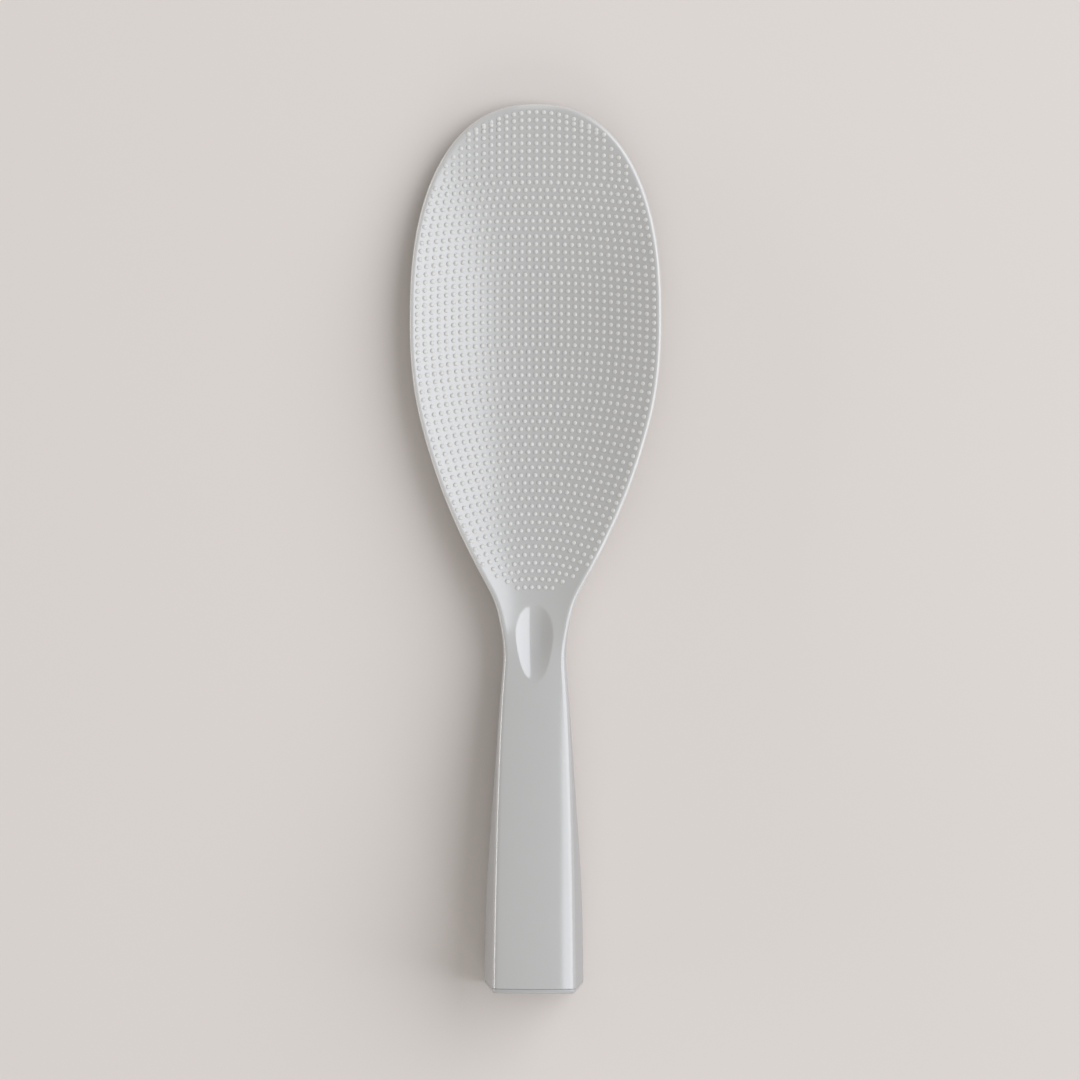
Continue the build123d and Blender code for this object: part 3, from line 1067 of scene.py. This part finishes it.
@dataclass
class RiceDots:
    """Rows of small embossed domes over the bowl, which keep rice from sticking."""

    form: PaddleForm
    dome_width: float = 1.3 * MM
    dome_height: float = 0.27 * MM
    dome_root: float = 0.07 * MM
    dome_segments: int = 10
    dome_rings: int = 6

    # Rows, by where their middle lies along the paddle: a few at the tip in columns, the rest spread
    first_row: float = 107.96 * MM
    last_row: float = -11 * MM
    row_pitch: float = 1.929 * MM
    low_row_pitch: float = 2.02 * MM
    low_rows_from: float = 9.6 * MM
    column_rows: int = 9
    column_pitch: float = 1.875 * MM
    widest_pitch: float = 1.825 * MM

    # The field's edge: its distance from the rim, and its foot at the neck with that line's bow per metre
    edge_margin: float = 1.85 * MM
    field_foot: float = -11.6 * MM
    field_foot_bow: float = 39.0
    search_steps: int = 30

    # How strongly a row bows down to its ends: millimetres along the paddle, bow per metre
    bow_rows: tuple = (
        (-11, 11), (-6, 15), (0, 13), (5.6, 10.2), (13.6, 7.5), (23.3, 5.4), (35, 3.8), (46, 3),
        (70, 3), (90, 3), (97, 4), (102, 4.6), (104, 6), (106, 11), (108, 20),
    )

    def rows(self) -> list[tuple[float, RowFit]]:
        """Sets out the rows from the tip to the neck.

        Returns:
            The middle of each row, and how the row is fitted.
        """
        found = []
        y = self.first_row
        while y > self.last_row:
            found.append((y, RowFit.COLUMNS if len(found) < self.column_rows else RowFit.SPREAD))
            y -= self.row_pitch if y > self.low_rows_from else self.low_row_pitch
        return found

    def reach(self, y: float, bow: float) -> float:
        """Finds how far from the middle a bowed row meets the field's edge.

        Args:
            y: The row's middle.
            bow: The row's bow per metre.

        Returns:
            The distance from the middle.
        """
        inner = 0.0
        outer = self.form.blade_width / 2
        for _ in range(self.search_steps):
            x = (inner + outer) / 2
            if x < self.form.front_edge(self.form.place_at(y - bow * x * x)) - self.edge_margin:
                inner = x
            else:
                outer = x
        return inner

    def spots(self) -> list[tuple[float, float]]:
        """Finds the places of all dots.

        Returns:
            The dots' x and y.
        """
        bow_at = fair_line([(y * MM, bow) for y, bow in self.bow_rows])
        found = []
        for y, fit in self.rows():
            bow = bow_at(y)
            reach = self.reach(y, bow)
            if fit is RowFit.COLUMNS:
                side = int(reach / self.column_pitch)
                places = [i * self.column_pitch for i in range(-side, side + 1)]
            else:
                gaps = math.ceil(2 * reach / self.widest_pitch)
                places = [reach * (2 * i / gaps - 1) for i in range(gaps + 1)]
            found += [(x, y - bow * x * x) for x in places]
        return [(x, y) for x, y in found if y > self.field_foot + self.field_foot_bow * x * x]

    def dome(self) -> bpy.types.Object:
        """Models one dome: the cap of a sphere with a short root below the surface.

        Returns:
            The dome, with its foot's middle at the origin.
        """
        half = self.dome_width / 2
        radius = (half**2 + self.dome_height**2) / (2 * self.dome_height)
        deselect()
        bpy.ops.mesh.primitive_uv_sphere_add(
            segments=self.dome_segments, ring_count=self.dome_rings, radius=radius,
            location=(0, 0, self.dome_height - radius),
        )
        dome = added("dome")
        bpy.ops.object.transform_apply(location=True, rotation=False, scale=False)
        bpy.ops.object.mode_set(mode="EDIT")
        bpy.ops.mesh.select_all(action="SELECT")
        bpy.ops.mesh.bisect(plane_co=(0, 0, -self.dome_root), plane_no=(0, 0, 1),
                            use_fill=True, clear_inner=True)
        bpy.ops.object.mode_set(mode="OBJECT")
        bpy.ops.object.shade_smooth()
        return dome

    def build(self) -> bpy.types.Object:
        """Copies the dome to every place, upright on the bowl's surface.

        Returns:
            All dots in one mesh, in place.
        """
        dome = self.dome()
        single = dome.data
        mesh = bmesh.new()
        for x, y in self.spots():
            turn = self.form.front_normal(x, y).to_track_quat("Z", "Y").to_matrix().to_4x4()
            move = Matrix.Translation((x, y, self.form.front_height(x, y)))
            placed = single.copy()
            placed.transform(move @ turn)
            mesh.from_mesh(placed)
            bpy.data.meshes.remove(placed)
        mesh.to_mesh(single)
        mesh.free()
        dome.name = "embossed_dots"
        single.name = "embossed_dots"
        return dome

    def make(self, finish: bpy.types.Material) -> None:
        """Builds the dots and dresses them.

        Args:
            finish: The dots' plastic, painted paler as a painted highlight.
        """
        finish_piece(self.build(), finish, Slot.BODY)


@dataclass(frozen=True)
class CarriedPiece:
    """A piece whose solid has the right shape already and only takes its finish here."""

    node: str
    slot: Slot

    def make(self, finish: bpy.types.Material) -> None:
        """Dresses the piece.

        Args:
            finish: Its material.
        """
        finish_piece(frame["nodes"][self.node], finish, self.slot)


@dataclass(frozen=True)
class Softbox:
    """A rectangular soft light, given in degrees and metres by where it stands as the paddle sees it."""

    name: str
    from_upright: float
    bearing: float
    distance: float
    width: float
    height: float
    brightness: float
    tint: str = "#FFFFFF"
    slide: float = 0.0

    def make(self) -> None:
        """Hangs the light so that it faces the paddle, then slides it along its width.

        A lamp's power is its brightness times its area times pi.
        """
        tilt = math.radians(self.from_upright)
        turn = math.radians(self.bearing)
        towards = Vector((math.sin(tilt) * math.cos(turn), math.sin(tilt) * math.sin(turn), math.cos(tilt)))
        deselect()
        bpy.ops.object.light_add(type="AREA", location=towards * self.distance)
        lamp = bpy.context.object
        lamp.name = self.name
        turned = towards.to_track_quat("Z", "Y")
        lamp.rotation_euler = turned.to_euler()
        lamp.location += turned @ Vector((self.slide, 0, 0))
        lamp.data.shape = "RECTANGLE"
        lamp.data.size = self.width
        lamp.data.size_y = self.height
        lamp.data.energy = self.brightness * math.pi * self.width * self.height
        lamp.data.color = linear_colour(self.tint)[:3]
        lamp.visible_camera = False


@dataclass(frozen=True)
class Studio:
    """Table, soft lights, room light and the camera straight above."""

    table_size: float = 6.0
    table_gap: float = 0.05 * MM
    room_brightness: float = 0.44

    # Where the camera hangs, its roll in degrees, and its lens and sensor in millimetres
    camera_height: float = 1.1
    camera_x: float = 1.25 * MM
    camera_y: float = 1.1 * MM
    camera_roll: float = 0.15
    lens: float = 146.2
    sensor: float = 36.0

    # Name, from upright, bearing, distance, width, height and brightness, then tint and slide
    lights: tuple[Softbox, ...] = (
        Softbox("key_softbox", 48.5, 0, 2.5, 3.6, 2.78, 2.92, "#F2F7FF", 1.0),
        Softbox("overhead_softbox", 4, 180, 2.6, 2.1, 1.9, 0.2),
        Softbox("near_softbox", 72, -80, 2.5, 1.6, 0.8, 4.0),
        Softbox("left_softbox", 85, 172, 2.5, 2.8, 0.7, 5.2),
        Softbox("far_softbox", 76, 95, 2.5, 1.6, 0.5, 0.6),
    )

    def lay_table(self) -> None:
        """Lays the plain table under the paddle."""
        deselect()
        bpy.ops.mesh.primitive_plane_add(size=self.table_size, location=(0, 0, -self.table_gap))
        table = added("table_top")
        bpy.ops.object.transform_apply(location=True, rotation=False, scale=False)
        table.data.materials.append(PaleTable().material())

    def light_room(self) -> None:
        """Gives the room its even light."""
        world = bpy.data.worlds.new("studio_room")
        world.use_nodes = True
        world.node_tree.nodes.clear()
        bpy.context.scene.world = world
        room = add_node(world.node_tree, "ShaderNodeBackground",
                        inputs={"Color": (1.0, 1.0, 1.0, 1.0), "Strength": self.room_brightness})
        add_node(world.node_tree, "ShaderNodeOutputWorld", links={"Surface": room.outputs["Background"]})

    def set_camera(self) -> None:
        """Hangs the camera straight above the paddle."""
        deselect()
        bpy.ops.object.camera_add(location=(self.camera_x, self.camera_y, self.camera_height),
                                  rotation=(0, 0, math.radians(self.camera_roll)))
        camera = bpy.context.object
        camera.name = "camera_above"
        camera.data.lens = self.lens
        camera.data.sensor_width = self.sensor
        bpy.context.scene.camera = camera

    def make(self) -> None:
        """Sets up table, lights and camera."""
        self.set_camera()
        self.lay_table()
        self.light_room()
        for light in self.lights:
            light.make()
        bpy.context.scene.view_settings.view_transform = "Standard"


def main() -> None:
    """Builds the studio, then each piece of the paddle."""
    logging.basicConfig(level=logging.INFO, format="%(name)s %(message)s")
    Studio().make()
    form = PaddleForm()
    MouldedBody(form, ThumbRecess()).make(MouldedPolypropylene().material())
    RiceDots(form).make(PaintedHighlightDotPolypropylene().material())
    CarriedPiece("base_cap", Slot.CAP).make(PaintedShadeCapPolypropylene().material())
    CarriedPiece("ballast_slug", Slot.BALLAST).make(TurnedSteel().material())


if __name__ == "__main__":
    main()
